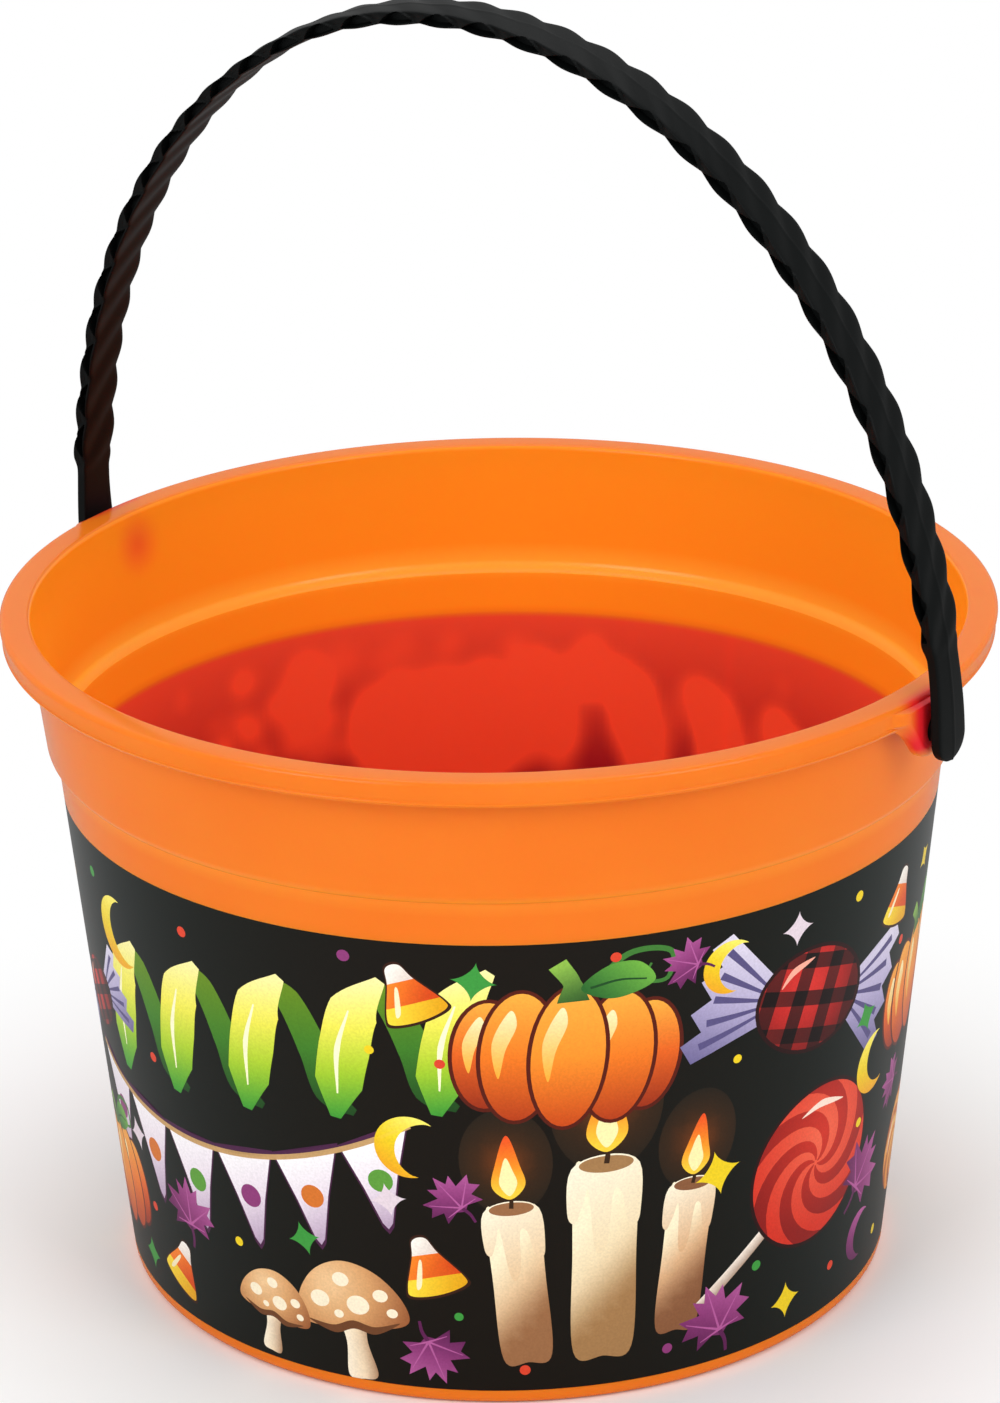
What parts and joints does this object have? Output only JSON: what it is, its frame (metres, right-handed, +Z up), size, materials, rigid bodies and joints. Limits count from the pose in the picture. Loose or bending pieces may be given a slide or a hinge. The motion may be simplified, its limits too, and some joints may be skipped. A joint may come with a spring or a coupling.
{
  "type": "halloween bucket",
  "caption": "Tapered round plastic treat pail with a turned-down rim, a wrap-round picture label and a rope-look bail that swings on pins in moulded ears.",
  "frame": {"origin": "centre of the foot ring, on the plane that the pail rests on", "axes": "+Z up along the pail's axis, X along the bail's pivot axis, the bail leaning a little towards -Y at rest"},
  "size_m": [0.2212, 0.21, 0.2765],
  "materials": {
    "orange_plastic": "translucent moulded polypropylene, smooth satin gloss",
    "printed_film": "printed in-mould film, satin gloss",
    "black_plastic": "moulded polypropylene, satin"
  },
  "bodies": {
    "pail": {"bucket_body": "orange_plastic", "label_wrap": "printed_film"},
    "bail": {"bail_handle": "black_plastic"}
  },
  "joints": [
    {"name": "bail_swing", "type": "hinge", "parent": "pail", "child": "bail", "pos_m": [0, 0, 0.1405], "axis": [1, 0, 0], "range_deg": [-140.5, 131.5]}
  ]
}
